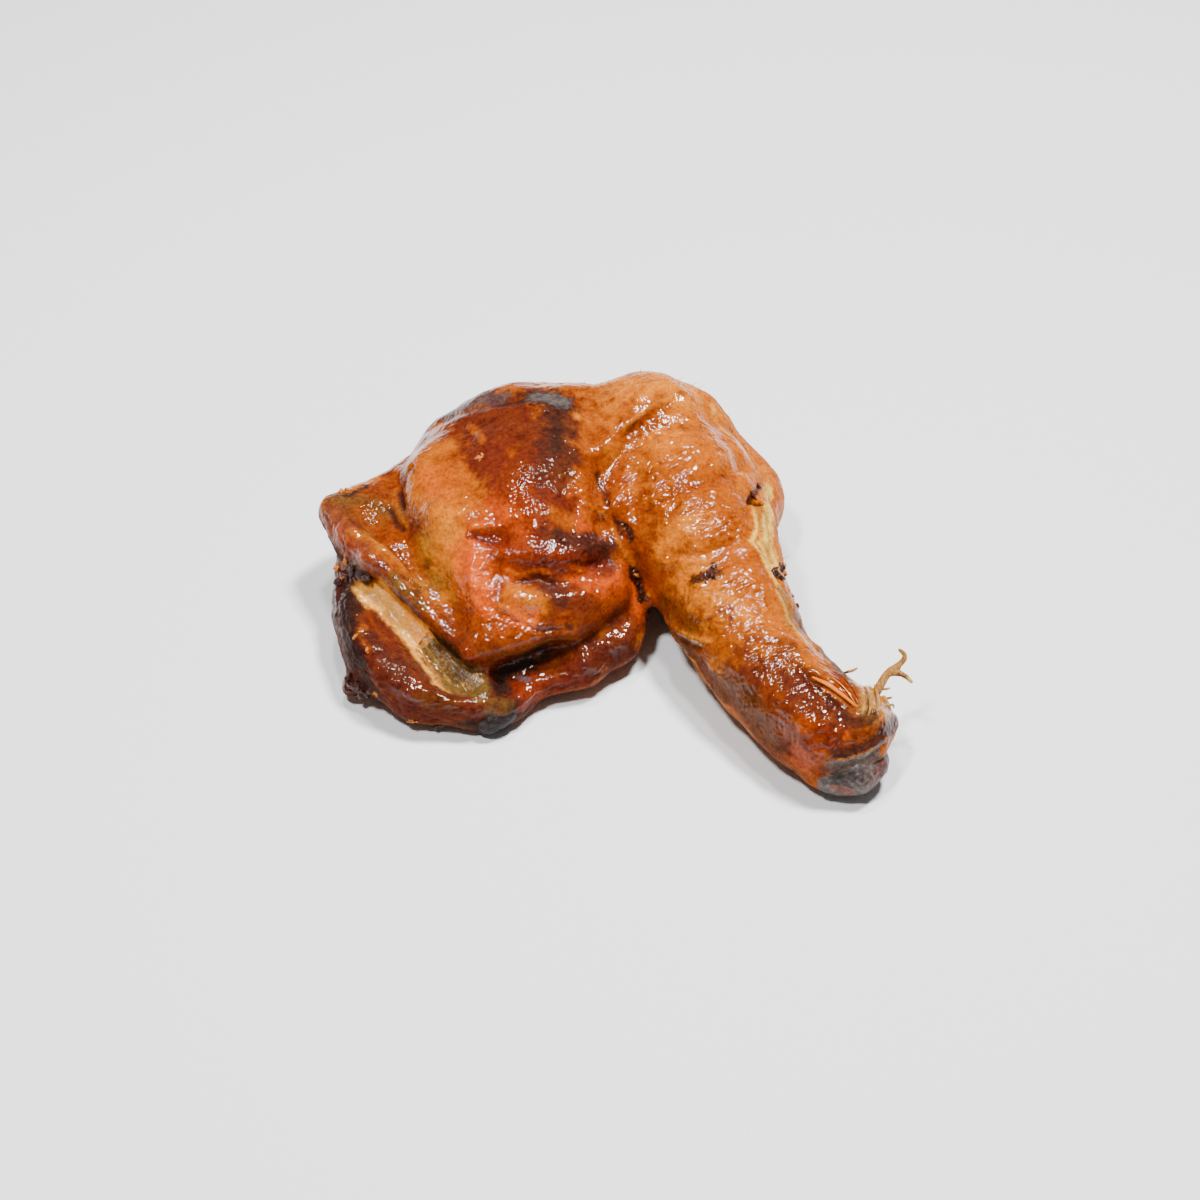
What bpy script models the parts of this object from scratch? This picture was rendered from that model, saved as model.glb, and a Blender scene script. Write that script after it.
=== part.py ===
"""A roast chicken leg quarter, lying skin side up: thigh, drumstick and the cut end of the back.

Metres, +Z up. +Y points from the drumstick's knuckle towards the knee, +X from the thigh towards the drumstick.
The origin is on the surface that the leg lies on, under the middle of its outline.
"""

import bmesh
import bpy
import numpy as np
from mathutils import Matrix, Vector, noise
from mathutils.bvhtree import BVHTree

MM = 0.001

# How finely the flesh is worked, and what each finished solid may hold
FLESH_STEP = 1.15 * MM
TRIM_STEP = 0.4 * MM
LEG_TRIANGLES = 9600
TRIM_TRIANGLES = 320

# The leg has settled onto its underside by this much, and its trim has this much room in its seats
SETTLED = 1.3 * MM
SEAT_GAP = 0.35 * MM
STRAND_GAP = 0.6 * MM

# Each muscle or lobe is the tight wrap round a few balls: centre x, y, z and radius, in millimetres
MUSCLES = {
    "thigh": [
        (-39, 115, 22, 11), (-22, 111, 28.5, 17), (-7, 109, 29.5, 17), (-45, 93, 24, 11), (-18, 84, 31, 18),
        (0, 84, 28, 14), (-32, 62, 25, 10), (-10, 54, 22, 10), (3, 65, 21, 9),
    ],
    "apron": [
        (-64, 68, 25, 3.5), (-52, 53, 22, 3.5), (-33, 39, 18, 3.5), (-9, 48, 19, 5), (4, 61, 18, 5),
        (-40, 75, 27, 9), (-16, 74, 31, 14), (-50, 90, 24, 8),
    ],
    "flap": [
        (-73, 86, 25.5, 3.5), (-65, 70, 25, 3.5), (-65, 93.5, 22.5, 4), (-48, 102, 23, 7), (-45, 85, 25, 8),
        (-52, 66, 25, 5),
    ],
    "underside": [
        (-38, 98, 14, 13), (-20, 106, 14, 13), (0, 102, 14, 13), (-30, 65, 12, 11), (0, 66, 12, 10),
        (-10, 57, 11, 10), (-30, 52, 12, 10.5),
    ],
    "knee": [(12, 108, 29.5, 21), (20, 111.5, 26.5, 17.5), (4, 97.5, 28.5, 18)],
    "calf_lobe": [(32, 111.5, 20, 11), (40.3, 100.5, 19, 10.3), (40, 89, 16, 8)],
    "back_piece": [
        (-62, 63, 13, 9.5), (-58, 47, 11, 9.5), (-46, 36, 9.5, 9.5), (-31, 33, 7.5, 8), (-40, 52, 12, 9),
        (-52, 60, 14, 9),
    ],
    "back_rim": [(-62.5, 60, 16, 6), (-61, 47, 15, 6), (-53.5, 37, 13, 6), (-59, 50, 9, 8)],
    "red_lobe": [(-18, 43, 9, 8), (-5, 46, 9, 8), (-6, 55, 11, 10)],
    "side_lobe": [(3, 53, 10, 8), (6, 58, 13, 7), (-2, 60, 11, 9)],
    "dark_lobe": [(-25, 32.5, 6.5, 6.5), (-34, 32, 5.5, 5.5), (-22, 38, 7, 7)],
    "knuckle": [(55.5, 18, 14, 13.5), (65, 15, 16.5, 8.5), (63, 11.5, 9.5, 8), (57.5, 11, 9.5, 8.5)],
}

# Torn edges, tags and knobs of flesh, too small to be evened out with the muscles
TATTERS = {
    "ragged_nub": [(-66, 40.5, 5.2, 1.8), (-65, 37.5, 5.5, 1.6), (-61.5, 38.5, 6.5, 2.4), (-60, 43, 8, 4)],
    "hip_loop": [(-69, 70.5, 19.5, 1.8), (-67, 66, 18, 2.2), (-62, 63, 15, 5)],
    "hip_tag": [(-67, 71.5, 22, 1.8), (-64.5, 69, 22, 2.2), (-69, 70.5, 20, 1.8)],
    "knuckle_knob": [(73, 17.8, 15, 2.8), (70, 20, 14, 3), (66, 18, 15, 5)],
    "fibre_plate": [(68.5, 25.5, 18.5, 2.2), (71.3, 23.5, 17.5, 1.9), (72.3, 20, 16, 1.9), (64, 20, 15, 6)],
    "end_nub": [(71.3, 14, 5.5, 2.2), (70, 15, 8, 2.4), (66, 16, 10, 4)],
    "skin_tip": [(-34.5, 37, 18.5, 1.8), (-33, 40, 20, 3), (-30, 44, 21, 4)],
}

# The drumstick's axis from the knee to the knuckle, and its radius there
DRUMSTICK = [
    ((12, 110, 26), 18),
    ((21, 94, 25), 21.5),
    ((27, 76, 24), 20.5),
    ((33.5, 58, 20), 17.5),
    ((39.5, 42, 17), 15),
    ((47, 29, 15), 14),
    ((55.5, 18, 14), 14),
]

# Folds, ridges and hollows: a line over the flesh, how far it reaches to each side, and its height
FOLDS = {
    "golden_bump": ([(-45, 93, 36), (-42, 84, 37), (-40, 75, 37)], 8, 3.0),
    "bump_fold": ([(-54, 91, 31), (-54, 82, 32), (-51, 72, 33), (-49, 68, 33)], 3, -2.4),
    "golden_trough": ([(-48, 65, 33), (-43, 53, 28), (-34, 43, 24)], 7, -2.2),
    "side_ridge": ([(-33, 65, 38), (-32, 57, 33), (-31, 48, 28), (-30, 40, 23)], 3.4, 2.0),
    "ledge_dent": ([(-30, 64, 38), (-26, 62, 38)], 3, -1.0),
    "front_valley": ([(-22, 54, 33), (-14, 52, 32), (-4, 56, 32), (3, 61, 31)], 3.6, -2.8),
    "front_lump": ([(-21, 49, 29), (-17, 49, 29)], 5, 2.6),
    "front_valley_low": ([(-13, 48, 29), (-5, 47, 26), (2, 52, 23)], 2.8, -1.2),
    "front_ridge": ([(-24, 57, 35), (-10, 58, 35), (1, 64, 34)], 3, 1.4),
    "brow": ([(-28, 40, 22), (-18, 42, 22), (-6, 45, 24), (4, 54, 23)], 4.5, 1.9),
    "brow_undercut": ([(-24, 37, 15), (-12, 41, 16), (0, 49, 17), (8, 57, 17)], 2.6, -1.8),
    "crown_dent": ([(-24, 88, 48), (-14, 78, 47), (-8, 70, 44)], 6, -1.0),
    "crease_upper": ([(18, 98, 46), (11, 94, 45), (4, 88, 43)], 2.8, -1.4),
    "crease_ridge": ([(16, 102, 48), (8, 96, 47), (1, 90, 44)], 3.2, 1.2),
    "crease_middle": ([(4, 88, 43), (1, 80, 42), (0, 73, 39), (2, 68, 35)], 2.6, -2.8),
    "crease_lower": ([(2, 69, 36), (6, 64, 30), (10, 60, 22)], 3, -3.0),
    "back_fold": ([(-46, 109, 31), (-36, 107, 39), (-25, 104, 45), (-15, 104, 47)], 2.8, 0.9),
    "back_groove": ([(-44, 114, 31), (-32, 110, 41), (-23, 109, 45)], 2.4, -1.4),
    "left_fold": ([(-54, 101, 27), (-47, 102, 33), (-40, 101, 38)], 2.6, 0.9),
    "flap_edge": ([(-72, 87, 27), (-64, 71, 29), (-56, 62, 29), (-46, 53, 27), (-41, 46, 25)], 2.6, 2.0),
    "flap_valley": ([(-60, 78, 30), (-53, 65, 31), (-46, 55, 29), (-41, 48, 26)], 4.5, -2.6),
    "pocket": ([(-24, 35, 13), (-18, 38, 15), (-11, 41, 16)], 4.6, -4.2),
    "bowl": ([(-57, 58, 21), (-50, 51, 17), (-43, 43, 14), (-34, 33, 14)], 5, -3.4),
    "rim_crest": ([(-64, 58, 20), (-62, 43, 20), (-56, 34, 17), (-46, 28, 13), (-36, 26, 10)], 3, 1.2),
    "edge_shadow": ([(-51, 52, 21), (-41, 42, 18), (-32, 35, 15)], 2.6, -2.6),
    "apron_roll": ([(-60, 64, 27), (-52, 57, 27), (-45, 49, 22), (-38, 44, 18), (-33, 39, 17)], 2.6, 2.0),
    "knee_valley": ([(7, 95, 46), (12, 99, 47), (18, 105, 48)], 4, -2.4),
    "knee_ridge": ([(3, 93, 45), (10, 101, 48), (17, 109, 48)], 3, 0.8),
    "drum_valley_1": ([(19, 74, 43), (27, 77, 45), (38, 90, 39)], 4.5, -1.8),
    "drum_valley_2": ([(23, 67, 42), (32, 72, 43), (38, 78, 41)], 3.6, -1.4),
    "drum_valley_3": ([(21, 56, 34), (31, 56, 38), (39, 63, 38)], 3.6, -1.8),
    "drum_valley_4": ([(14, 58, 24), (21, 54, 32), (29, 53, 36)], 2.8, -0.9),
    "skin_edge": (
        [(30, 110, 42), (33, 97, 42), (39, 90, 38), (43, 87, 34), (40, 73, 39), (43, 56, 34), (46, 50, 31)],
        2.2, -1.4,
    ),
    "calf_hollow": ([(47, 82, 26), (50, 70, 24), (50, 60, 22)], 4, -1.6),
    "wave_1": ([(14, 58, 20), (21, 47, 23), (28, 39, 27), (33, 37, 29)], 2.4, -1.1),
    "wave_2": ([(17, 50, 18), (23, 41, 20), (29, 35, 25)], 2.2, 0.9),
    "shank_waist": ([(37, 44, 32), (44, 42, 31), (51, 44, 24)], 5, -1.0),
    "tendon_groove": ([(46, 25, 28), (50, 17, 27), (61, 10, 24)], 3, -1.5),
    "tendon_ridge": ([(60, 30, 24), (65, 22, 25), (67, 15, 23)], 2.6, 1.0),
    "knuckle_lump": ([(51, 11, 24), (57, 8, 23)], 5, 1.5),
    "knuckle_rim": ([(74, 16, 15), (69, 9, 15), (63, 6, 15), (56, 5, 15)], 2.2, 1.3),
    "under_groove": ([(-52, 92, 3), (-30, 84, 1), (-6, 80, 1), (20, 84, 4)], 4, -1.6),
}

# Trim that lies in the flesh or sticks out of it, in millimetres
HIP_STRIP = {
    "path": [(-58, 61.5, 20.5), (-51, 54.5, 16.8), (-44.2, 47, 14), (-37.6, 39.6, 12), (-32.6, 34.6, 11)],
    "half_width": (2.0, 3.1, 3.7, 4.3, 3.8),
    "half_depth": 1.6,
    "faces": (-0.42, -0.48, 0.77),
}
SHANK_TENDON = {
    "path": [(53, 22, 27.2), (57, 19, 27.6), (60.6, 16.4, 26.2), (64, 14, 24.6)],
    "half_width": (0.8, 1.2, 1.0, 0.8),
    "half_depth": 0.9,
    "faces": (0.3, -0.25, 0.92),
}
# The strip is bare: this much of the flesh over it is open, and the thigh's edge hangs over a slot beside it
STRIP_OPENING = 9
STRIP_SLOT = [
    ((-68, 72, 19), 1.8), ((-60, 66.5, 19), 2.4), ((-52, 60, 17.5), 2.7), ((-44, 51.5, 15), 3),
    ((-37, 44.5, 13), 3), ((-30, 38.5, 12.5), 2.8),
]
JOINT_END = [(59, 8.7, 8.3, 6), (63.5, 8.2, 8.5, 6), (67, 10.5, 8.5, 5), (61.5, 9.5, 6, 4.5)]
STRANDS = {
    "trunk": [((68, 23, 16), 1.3), ((70.7, 26.1, 20), 1.25), ((73, 29, 22), 1.1), ((75.5, 30, 23.5), 0.9)],
    "hook": [((75.5, 30, 23.5), 0.9), ((77.1, 31, 25.5), 0.75), ((75.2, 32, 27.5), 0.6)],
    "prong": [((73.5, 29, 22), 1.0), ((76.8, 28, 22), 0.75), ((79, 26, 21), 0.6)],
}


def clear_scene():
    """Removes what the start-up file holds."""
    for obj in list(bpy.data.objects):
        bpy.data.objects.remove(obj)


def new_object(name, bm):
    """An object in the scene with the mesh that was worked on."""
    mesh = bpy.data.meshes.new(name)
    bm.to_mesh(mesh)
    bm.free()
    made = bpy.data.objects.new(name, mesh)
    bpy.context.scene.collection.objects.link(made)
    return made


def bake(obj):
    """Turns the object's modifiers into its mesh."""
    bpy.context.view_layer.update()
    evaluated = obj.evaluated_get(bpy.context.evaluated_depsgraph_get())
    mesh = bpy.data.meshes.new_from_object(evaluated)
    obj.modifiers.clear()
    obj.data = mesh


def hull(name, balls):
    """The convex wrap round balls, each given as the matrix that places and scales a unit ball."""
    bm = bmesh.new()
    for matrix in balls:
        bmesh.ops.create_icosphere(bm, subdivisions=3, radius=1, matrix=matrix)
    result = bmesh.ops.convex_hull(bm, input=bm.verts)
    inside = {v for v in result["geom_interior"] if isinstance(v, bmesh.types.BMVert)}
    bmesh.ops.delete(bm, geom=list(inside), context="VERTS")
    return new_object(name, bm)


def wrap(name, balls, grow=0.0):
    """The tight wrap round balls, each x, y, z and radius in millimetres, grown by a margin in metres."""
    placed = [
        Matrix.Translation(Vector((x, y, z)) * MM) @ Matrix.Scale(radius * MM + grow, 4) for x, y, z, radius in balls
    ]
    return hull(name, placed)


def limb(name, stations, grow=0.0):
    """A round limb with filled ends through the stations, each a point and a radius in millimetres."""
    curve = bpy.data.curves.new(name, "CURVE")
    curve.dimensions = "3D"
    curve.bevel_depth = MM
    curve.bevel_resolution = 8
    curve.resolution_u = 6
    curve.use_fill_caps = True
    spline = curve.splines.new("BEZIER")
    spline.bezier_points.add(len(stations) - 1)
    for point, (place, radius) in zip(spline.bezier_points, stations):
        point.co = Vector(place) * MM
        point.radius = radius + grow / MM
        point.handle_left_type = point.handle_right_type = "AUTO"
    guide = bpy.data.objects.new(name + "_guide", curve)
    bpy.context.scene.collection.objects.link(guide)
    bpy.context.view_layer.update()
    evaluated = guide.evaluated_get(bpy.context.evaluated_depsgraph_get())
    bm = bmesh.new()
    bm.from_mesh(bpy.data.meshes.new_from_object(evaluated))
    bpy.data.objects.remove(guide)
    bmesh.ops.remove_doubles(bm, verts=bm.verts, dist=0.01 * MM)
    return new_object(name, bm)


def strap(name, band, grow=0.0):
    """The overlapping lengths of a flat strip along the band's path, facing the way that the band says."""
    up = Vector(band["faces"]).normalized()
    half_depth = band["half_depth"] * MM + grow
    stations = [(Vector(place) * MM, wide * MM + grow) for place, wide in zip(band["path"], band["half_width"])]
    lengths = []
    for ends in zip(stations, stations[1:]):
        along = (ends[1][0] - ends[0][0]).normalized()
        lengths.append(hull(name, [flat_ball(spot, along, up, half_width, half_depth) for spot, half_width in ends]))
    return lengths


def opening_over(band, height):
    """The space to keep free over a strip, widening outwards, in overlapping lengths."""
    up = Vector(band["faces"]).normalized()
    stations = []
    for place, half_width in zip(band["path"], band["half_width"]):
        near = Vector(place) + up * half_width
        far = Vector(place) + up * height
        stations.append([(*near, half_width * 0.85), (*far, half_width * 1.3)])
    return [wrap("opening", start + end) for start, end in zip(stations, stations[1:])]


def flat_ball(spot, along, up, half_width, half_depth):
    """The matrix of a ball flattened along up, with its width across the strip."""
    across = along.cross(up).normalized()
    out = across.cross(along).normalized()
    turn = Matrix((across, along, out)).transposed().to_4x4()
    size = Matrix.Diagonal((half_width, half_width, half_depth, 1))
    return Matrix.Translation(spot) @ turn @ size


def skin_tree(obj):
    """A search tree over the object's surface."""
    bm = bmesh.new()
    bm.from_mesh(obj.data)
    tree = BVHTree.FromBMesh(bm)
    bm.free()
    return tree


def fuse(name, pieces, step):
    """One closed skin round the overlapping pieces, with faces about one step across."""
    bm = bmesh.new()
    for piece in pieces:
        bm.from_mesh(piece.data)
        bpy.data.objects.remove(piece)
    fused = new_object(name, bm)
    reskin(fused, step)
    return fused


def reskin(obj, step):
    """Rebuilds the object's surface in even faces."""
    remesh = obj.modifiers.new("one_skin", "REMESH")
    remesh.mode = "VOXEL"
    remesh.voxel_size = step
    bake(obj)


def relax(obj, rounds):
    """Evens the surface out."""
    smooth = obj.modifiers.new("relax", "SMOOTH")
    smooth.factor = 0.5
    smooth.iterations = rounds
    bake(obj)


def thin_out(obj, triangles):
    """Brings the object down to a number of triangles, more of them where it bends."""
    bm = bmesh.new()
    bm.from_mesh(obj.data)
    bmesh.ops.triangulate(bm, faces=bm.faces)
    bm.to_mesh(obj.data)
    bm.free()
    collapse = obj.modifiers.new("thin_out", "DECIMATE")
    collapse.ratio = min(1.0, triangles / len(obj.data.polygons))
    collapse.use_collapse_triangulate = True
    bake(obj)


def distance_to(path, points):
    """How far each point is from the path, a chain of straight runs."""
    nearest = np.full(len(points), np.inf)
    for start, end in zip(path, path[1:]):
        run = end - start
        along = np.clip((points - start) @ run / (run @ run), 0, 1)
        nearest = np.minimum(nearest, np.linalg.norm(points - start - np.outer(along, run), axis=1))
    return nearest


def press(obj, folds):
    """Raises or sinks the skin along each fold's line, fading out at 1.6 times its reach."""
    points, normals = surface(obj)
    tree = skin_tree(obj)
    lift = np.zeros(len(points))
    for line, reach, height in folds.values():
        path = np.array([tree.find_nearest(Vector(place) * MM)[0] for place in line])
        fade = np.clip(1 - (distance_to(path, points) / (1.6 * reach * MM)) ** 2, 0, 1) ** 2
        lift += height * MM * fade
    set_surface(obj, points + normals * lift[:, None])


def roughen(obj, wave, height):
    """Gives the skin an uneven surface, with bumps about one wave apart."""
    points, normals = surface(obj)
    lift = np.array([noise.noise(Vector(point) / wave) for point in points]) * height
    set_surface(obj, points + normals * lift[:, None])


def surface(obj):
    """The object's points and the skin's directions there."""
    count = len(obj.data.vertices)
    points = np.empty(count * 3, dtype=np.float32)
    normals = np.empty(count * 3, dtype=np.float32)
    obj.data.vertices.foreach_get("co", points)
    obj.data.vertex_normals.foreach_get("vector", normals)
    return points.reshape(-1, 3).astype(float), normals.reshape(-1, 3).astype(float)


def set_surface(obj, points):
    """Moves the object's points."""
    obj.data.vertices.foreach_set("co", points.astype(np.float32).ravel())
    obj.data.update()


def cut(obj, cutter):
    """Takes the cutter's shape out of the object."""
    boolean = obj.modifiers.new("cut", "BOOLEAN")
    boolean.operation = "DIFFERENCE"
    boolean.object = cutter
    bake(obj)
    bpy.data.objects.remove(cutter)


def floor_block():
    """A block whose top is where the settled leg meets the surface under it."""
    bm = bmesh.new()
    size = 0.4
    bmesh.ops.create_cube(bm, size=size, matrix=Matrix.Translation((0, 0.07, SETTLED - size / 2)))
    return new_object("floor_block", bm)


def make_leg():
    """Thigh, drumstick and back piece as one body of skin and flesh."""
    pieces = [wrap(name, balls) for name, balls in MUSCLES.items()]
    pieces.append(limb("drumstick", DRUMSTICK))
    leg = fuse("leg", pieces, FLESH_STEP)
    relax(leg, 18)
    press(leg, FOLDS)
    roughen(leg, wave=9 * MM, height=0.9 * MM)
    roughen(leg, wave=4.5 * MM, height=0.4 * MM)
    leg = fuse("leg", [leg, *(wrap(name, balls) for name, balls in TATTERS.items())], FLESH_STEP)
    cut(leg, fuse("opening", opening_over(HIP_STRIP, STRIP_OPENING), FLESH_STEP))
    cut(leg, limb("slot", STRIP_SLOT))
    reskin(leg, FLESH_STEP)
    relax(leg, 2)
    return leg


def make_trim(name, shapes):
    """A small piece fused from overlapping shapes."""
    piece = fuse(name, shapes, TRIM_STEP)
    relax(piece, 3)
    thin_out(piece, TRIM_TRIANGLES)
    return piece


def strand_shapes(grow=0.0):
    """The torn strands at the knuckle."""
    return [limb(name, stations, grow) for name, stations in STRANDS.items()]


def skin_material(name, colour, roughness):
    """A plain surface of one colour."""
    material = bpy.data.materials.new(name)
    material.use_nodes = True
    shader = material.node_tree.nodes["Principled BSDF"]
    shader.inputs["Base Color"].default_value = (*colour, 1)
    shader.inputs["Roughness"].default_value = roughness
    shader.inputs["Metallic"].default_value = 0
    return material


def move_origin(nodes):
    """Puts the origin on the surface under the middle of the outline, and says how far the pieces moved."""
    points = np.concatenate([surface(node)[0] for node in nodes])
    low, high = points.min(axis=0), points.max(axis=0)
    middle = (low + high) / 2
    shift = -np.array([middle[0], middle[1], low[2]])
    for node in nodes:
        set_surface(node, surface(node)[0] + shift)
    return shift


def main():
    clear_scene()
    leg = make_leg()
    trim = {
        "hip_strip": lambda grow: strap("hip_strip", HIP_STRIP, grow),
        "shank_tendon": lambda grow: strap("shank_tendon", SHANK_TENDON, grow),
        "joint_end": lambda grow: [wrap("joint_end", JOINT_END, grow)],
        "torn_strands": strand_shapes,
    }
    gaps = dict.fromkeys(trim, SEAT_GAP) | {"torn_strands": STRAND_GAP}
    pieces = [make_trim(name, shapes(0.0)) for name, shapes in trim.items()]
    seats = [make_trim(name + "_seat", shapes(gaps[name])) for name, shapes in trim.items()]
    thin_out(leg, LEG_TRIANGLES)
    for cutter in [*seats, floor_block()]:
        cut(leg, cutter)
    nodes = [leg, *pieces]
    finishes = {
        "leg": ((0.42, 0.14, 0.03), 0.35),
        "hip_strip": ((0.55, 0.38, 0.2), 0.35),
        "shank_tendon": ((0.75, 0.3, 0.06), 0.4),
        "joint_end": ((0.09, 0.075, 0.07), 0.6),
        "torn_strands": ((0.35, 0.2, 0.08), 0.5),
    }
    parts = bpy.data.collections.new("roast_chicken_leg_quarter")
    bpy.context.scene.collection.children.link(parts)
    for node in nodes:
        bpy.context.scene.collection.objects.unlink(node)
        parts.objects.link(node)
        node.data.materials.clear()
        node.data.materials.append(skin_material(node.name + "_finish", *finishes[node.name]))
        node.data.shade_smooth()
    return move_origin(nodes)


main()
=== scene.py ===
import math
import random

import bmesh
import bpy
import numpy as np
from bpy.props import FloatProperty, FloatVectorProperty, IntProperty, PointerProperty
from mathutils import Matrix, Vector, noise
from mathutils.bvhtree import BVHTree


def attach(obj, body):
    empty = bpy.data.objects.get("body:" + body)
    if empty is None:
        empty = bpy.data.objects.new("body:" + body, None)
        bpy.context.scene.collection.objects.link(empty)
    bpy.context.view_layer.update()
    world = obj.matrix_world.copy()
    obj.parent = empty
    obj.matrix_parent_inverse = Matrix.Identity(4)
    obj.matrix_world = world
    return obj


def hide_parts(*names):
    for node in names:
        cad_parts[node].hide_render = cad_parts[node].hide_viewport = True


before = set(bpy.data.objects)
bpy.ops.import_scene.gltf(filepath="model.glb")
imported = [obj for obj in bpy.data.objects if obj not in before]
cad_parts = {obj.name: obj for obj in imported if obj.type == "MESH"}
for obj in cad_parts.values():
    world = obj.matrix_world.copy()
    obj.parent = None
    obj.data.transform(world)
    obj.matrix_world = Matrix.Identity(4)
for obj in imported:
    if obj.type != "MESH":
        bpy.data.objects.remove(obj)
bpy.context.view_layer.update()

bl_info = {
    "name": "Roast leg quarter",
    "version": (1, 0, 0),
    "blender": (4, 5, 0),
    "location": "View3D > Sidebar > Roast leg",
    "description": "Dresses a roast leg quarter with glossy, wrinkled, browned skin",
    "category": "Object",
}

MM = 0.001

# where the picture was taken from: 1200 x 1200, looking down at the leg
PICTURE_SIDE = 1200
FOCAL_PIXELS = 2771.0
SENSOR_MM = 36.0
CAMERA_AT = Vector((-0.001978, -0.531872, 0.51698))
CAMERA_DOWN = math.radians(43.57)
LOOK = Vector((0, math.cos(CAMERA_DOWN), -math.sin(CAMERA_DOWN)))
LOOK_UP = Vector((0, math.sin(CAMERA_DOWN), math.cos(CAMERA_DOWN)))
LOOK_RIGHT = Vector((1, 0, 0))

# how far a seated piece is grown to close the gap round it
SEAT_FILL = 0.5 * MM

# points of a solid nearer than this are one point
MERGE = 0.005 * MM

# the lowest height of a dressed point above the floor
LOWEST = 0.02 * MM

# the most triangles that the flesh may have, thinned where its facing is lower than this
MOST_TRIANGLES = 196000
FACES_DOWN = -0.25

# lamps: name, place, side of the square in metres, power in watts
LAMPS = (
    ("window", (0.27, 0.12, 1.00), 0.16, 19.0),
    ("lamp", (-0.05, 0.22, 1.05), 0.10, 5.0),
    ("front_window", (-0.26, -0.26, 0.95), 0.11, 9.0),
)
LAMPS_AIM = Vector((0, 0, 0.02))
ROOM_LIGHT = 0.12
FLOOR_HALF = 3.0
FLOOR_COLOUR = (0.90, 0.905, 0.91, 1)

# browning over the painted colour: what each channel is multiplied by
PALE_TINT = (1.40, 1.65, 1.0, 1)
DEEP_TINT = (0.46, 0.30, 0.5, 1)
SPECK_TINT = (0.62, 0.34, 0.22, 1)

# painted shade and light of the relief: how much each channel darkens in a groove and lightens on
# a crest
GROOVE_SHADE = (0.16, 0.24, 0.20)

# the drumstick's own line, knee to knuckle, in millimetres
DRUM_LINE = ((14.0, 8.0, 24.0), (61.0, -55.0, 11.0))

# finishes of roasted skin, fat, meat and bone
FINISHES = {
    "gold": ((0.41, 0.091, 0.001), "golden skin"),
    "honey": ((0.74, 0.200, 0.002), "glowing golden skin"),
    "blaze": ((0.62, 0.080, 0.001), "glowing orange skin"),
    "amber": ((0.33, 0.062, 0.001), "amber skin of the drumstick"),
    "orange": ((0.43, 0.050, 0.001), "bright orange skin"),
    "rust": ((0.195, 0.028, 0.001), "orange-brown skin"),
    "russet": ((0.125, 0.020, 0.004), "red-brown skin of the shank"),
    "red": ((0.145, 0.014, 0.004), "dark red skin"),
    "maroon": ((0.082, 0.012, 0.006), "dark maroon skin"),
    "purple": ((0.036, 0.010, 0.008), "purple-brown skin, near burnt"),
    # char: charred skin, also laid as painted shadow in the gaps under the skin's edge and the
    # flap, and as painted shade in the pocket under the thigh's front
    "char": ((0.014, 0.008, 0.007), "charred skin"),
    "scab": ((0.040, 0.008, 0.003), "dry dark brown scab"),
    # ash: pale grey ash on char, also laid as painted sheen and painted glints on char and along
    # the thigh's top edge
    "ash": ((0.11, 0.090, 0.090), "pale ash on char"),
    "tan": ((0.58, 0.165, 0.008), "pale tan skin"),
    "brown": ((0.085, 0.022, 0.004), "brown skin near the shank"),
    "olive": ((0.34, 0.115, 0.005), "yellow-olive fat under skin"),
    "moss": ((0.10, 0.050, 0.012), "grey-olive tissue"),
    "fat": ((0.75, 0.46, 0.09), "pale fat"),
    "fascia": ((0.50, 0.145, 0.012), "tan fascia"),
    "silver": ((0.085, 0.042, 0.030), "grey-purple fascia"),
    "meat": ((0.17, 0.036, 0.015), "cut cooked meat"),
    "under": ((0.13, 0.040, 0.010), "meat side, brown"),
    "bare": ((0.88, 0.37, 0.050), "bare pale strip"),
    "bone": ((0.085, 0.058, 0.050), "dried bone end"),
    "tendon": ((0.66, 0.150, 0.002), "orange tendon"),
    "fibre": ((0.34, 0.150, 0.028), "dry fibre"),
}
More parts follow.
